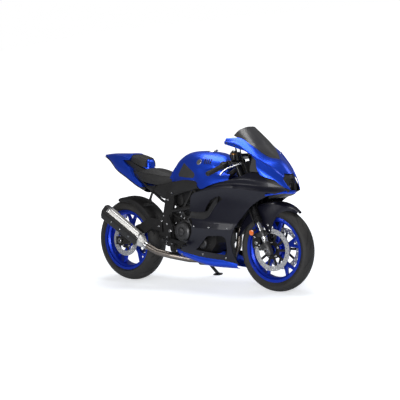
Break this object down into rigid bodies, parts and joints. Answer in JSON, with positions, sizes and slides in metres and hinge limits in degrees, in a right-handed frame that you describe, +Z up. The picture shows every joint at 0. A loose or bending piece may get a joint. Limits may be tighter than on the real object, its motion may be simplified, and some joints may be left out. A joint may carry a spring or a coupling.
{
  "type": "sport motorcycle",
  "caption": "Faired sport motorcycle leaning on its side stand, with turning steering, rolling wheels, folding stand and hinged filler lid.",
  "frame": {"origin": "bottom centre of the bounding box, on the ground plane, with the machine leaning to its left on its side stand", "axes": "+X forwards along the wheelbase, +Y to the rider's left, +Z up"},
  "size_m": [2.0097, 0.7278, 1.1418],
  "materials": {
    "blue_paint": "clear-coated royal blue",
    "navy_paint": "satin dark navy",
    "blue_wheel": "gloss blue coated casting",
    "cast_black": "satin black over a cast grain",
    "black_tube": "satin black",
    "black_metal": "satin black",
    "fork_black": "gloss black anodised",
    "dark_metal": "dark grey coated casting",
    "bright_steel": "turned and brushed",
    "spring_steel": "satin coated coil",
    "disc_steel": "ground, drilled",
    "chain_steel": "oiled plates",
    "pipe_steel": "heat-tinted tube",
    "titanium_can": "brushed sleeve",
    "lever_aluminium": "polished",
    "black_plastic": "fine moulded grain",
    "smoked_screen": "dark smoked, clear-coated",
    "lamp_glass": "dark lens",
    "seat_cover": "grained vinyl cover",
    "grip_rubber": "ribbed",
    "hose_rubber": "smooth",
    "tyre_rubber": "siped tread, smooth walls"
  },
  "bodies": {
    "chassis": {"frame": "cast_black", "subframe": "black_tube", "engine": "cast_black", "engine_covers": "dark_metal", "radiator": "dark_metal", "exhaust_headers": "pipe_steel", "muffler": "titanium_can", "muffler_cap": "black_plastic", "swingarm": "cast_black", "rear_shock": "spring_steel", "rear_hugger": "black_plastic", "rear_axle": "bright_steel", "rear_caliper": "black_metal", "chain": "chain_steel", "footrest_hangers": "black_metal", "fuel_tank": "blue_paint", "side_covers": "black_plastic", "rider_seat": "seat_cover", "pillion_seat": "seat_cover", "tail_cowl": "blue_paint", "lamps": "lamp_glass", "nose_cowl": "blue_paint", "windscreen": "smoked_screen", "nose_panel": "black_plastic", "side_fairings": "navy_paint", "belly_pan": "blue_paint", "instrument_stay": "black_plastic"},
    "steering": {"yokes": "black_metal", "fork_outers": "fork_black", "fork_legs": "dark_metal", "front_axle": "bright_steel", "handlebars": "black_metal", "grips": "grip_rubber", "hand_controls": "lever_aluminium", "front_fender": "black_plastic", "front_calipers": "black_metal", "brake_hoses": "hose_rubber"},
    "front_wheel": {"front_rim": "blue_wheel", "front_tyre": "tyre_rubber", "front_discs": "disc_steel"},
    "rear_wheel": {"rear_rim": "blue_wheel", "rear_tyre": "tyre_rubber", "rear_disc": "disc_steel", "rear_sprocket": "chain_steel"},
    "side_stand": {"side_stand": "black_metal"},
    "fuel_lid": {"fuel_lid": "bright_steel"}
  },
  "joints": [
    {"name": "steering_head", "type": "hinge", "parent": "chassis", "child": "steering", "pos_m": [0.43369, -0.00675, 0.81089], "axis": [-0.4015, 0.1748, 0.899], "range_deg": [-27, 27]},
    {"name": "front_wheel_spin", "type": "hinge", "parent": "steering", "child": "front_wheel", "pos_m": [0.705, -0.10679, 0.29624], "axis": [0, 0.9816, -0.1908], "continuous": true},
    {"name": "rear_wheel_spin", "type": "hinge", "parent": "chassis", "child": "rear_wheel", "pos_m": [-0.69, -0.10393, 0.31096], "axis": [0, 0.9816, -0.1908], "continuous": true},
    {"name": "side_stand_fold", "type": "hinge", "parent": "chassis", "child": "side_stand", "pos_m": [-0.1, 0.00207, 0.18543], "axis": [-0.0821, 0.8854, 0.4576], "range_deg": [0, 95]},
    {"name": "fuel_lid_hinge", "type": "hinge", "parent": "chassis", "child": "fuel_lid", "pos_m": [0.173, 0.02735, 0.98632], "axis": [0, 0.9816, -0.1908], "range_deg": [0, 85]}
  ]
}
